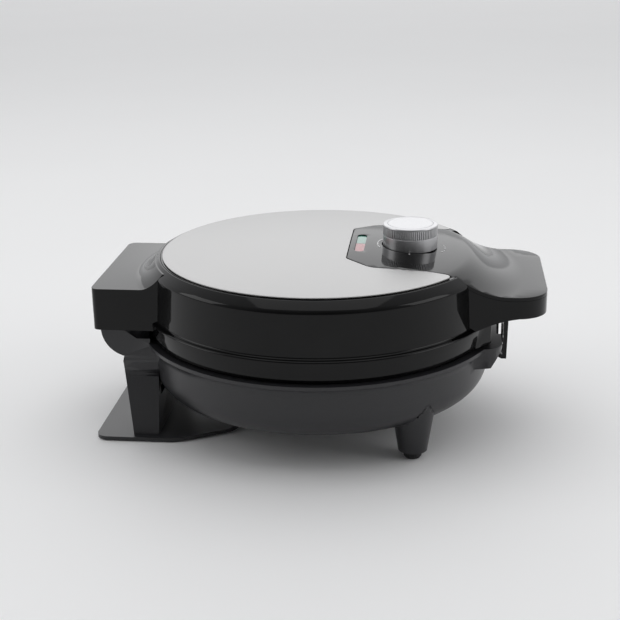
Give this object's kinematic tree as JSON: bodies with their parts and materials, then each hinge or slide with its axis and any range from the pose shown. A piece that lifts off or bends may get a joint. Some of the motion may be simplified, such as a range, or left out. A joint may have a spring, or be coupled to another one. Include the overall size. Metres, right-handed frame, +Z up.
{
  "type": "ring cake maker",
  "caption": "Round countertop ring-cake cooker: domed hinged lid with a dial and lamps, ring-moulded cook plates, front latch, rear stand with a flat foot and two front legs.",
  "frame": {"origin": "centre of the box around the closed cooker, on the floor it stands on", "axes": "+Z up, +Y toward the hinge and the rear stand, -Y toward the handle and latch, X across; the part is symmetric across X = 0"},
  "size_m": [0.27, 0.331, 0.1514],
  "materials": {
    "gloss_black": "gloss",
    "charcoal": "fine matte texture",
    "satin_steel": "satin",
    "dial_metal": "spun satin",
    "cast_coated": "non-stick coating",
    "bright_sheet": "mill",
    "element_steel": "heat-tinted",
    "bolt_steel": "plated",
    "soft_rubber": "matte",
    "white_print": "matte",
    "green_lens": "gloss",
    "red_lens": "gloss",
    "white_plastic": "matte"
  },
  "bodies": {
    "base": {"base_shell": "charcoal", "foot_plate": "charcoal", "foot_pads": "soft_rubber", "foot_screws": "bolt_steel", "cord_gland": "soft_rubber", "terminal_block": "white_plastic", "leg_left": "charcoal", "leg_right": "charcoal", "leg_tip_left": "soft_rubber", "leg_tip_right": "soft_rubber", "hinge_pin_left": "bolt_steel", "hinge_pin_right": "bolt_steel", "lower_cook_plate": "cast_coated", "lower_element": "element_steel", "lower_reflector": "bright_sheet", "thermal_fuse": "bolt_steel", "base_screws": "bolt_steel"},
    "lid": {"lid_shell": "gloss_black", "trim_plate": "satin_steel", "control_panel": "gloss_black", "upper_cook_plate": "cast_coated", "upper_element": "element_steel", "upper_reflector": "bright_sheet", "lid_screws": "bolt_steel", "lamp_lens_green": "green_lens", "lamp_lens_red": "red_lens", "lamp_holder": "white_plastic", "thermostat": "white_plastic", "thermostat_bracket": "bolt_steel", "dial_scale": "white_print", "handle_cover": "charcoal", "latch_pin": "bolt_steel"},
    "knob": {"knob_body": "dial_metal", "knob_cap": "dial_metal", "knob_shaft": "bolt_steel"},
    "latch": {"latch_lever": "gloss_black"}
  },
  "joints": [
    {"name": "lid_hinge", "type": "hinge", "parent": "base", "child": "lid", "pos_m": [0, 0.138, 0.083], "axis": [-1, 0, 0], "range_deg": [0, 100]},
    {"name": "knob_turn", "type": "hinge", "parent": "lid", "child": "knob", "pos_m": [0, -0.0656, 0.14], "axis": [0, 0, 1], "range_deg": [-270, 0]},
    {"name": "latch_swing", "type": "hinge", "parent": "lid", "child": "latch", "pos_m": [0, -0.1379, 0.1036], "axis": [-1, 0, 0], "range_deg": [-4.5, 10], "stiffness_Nm_per_rad": 0.08}
  ]
}
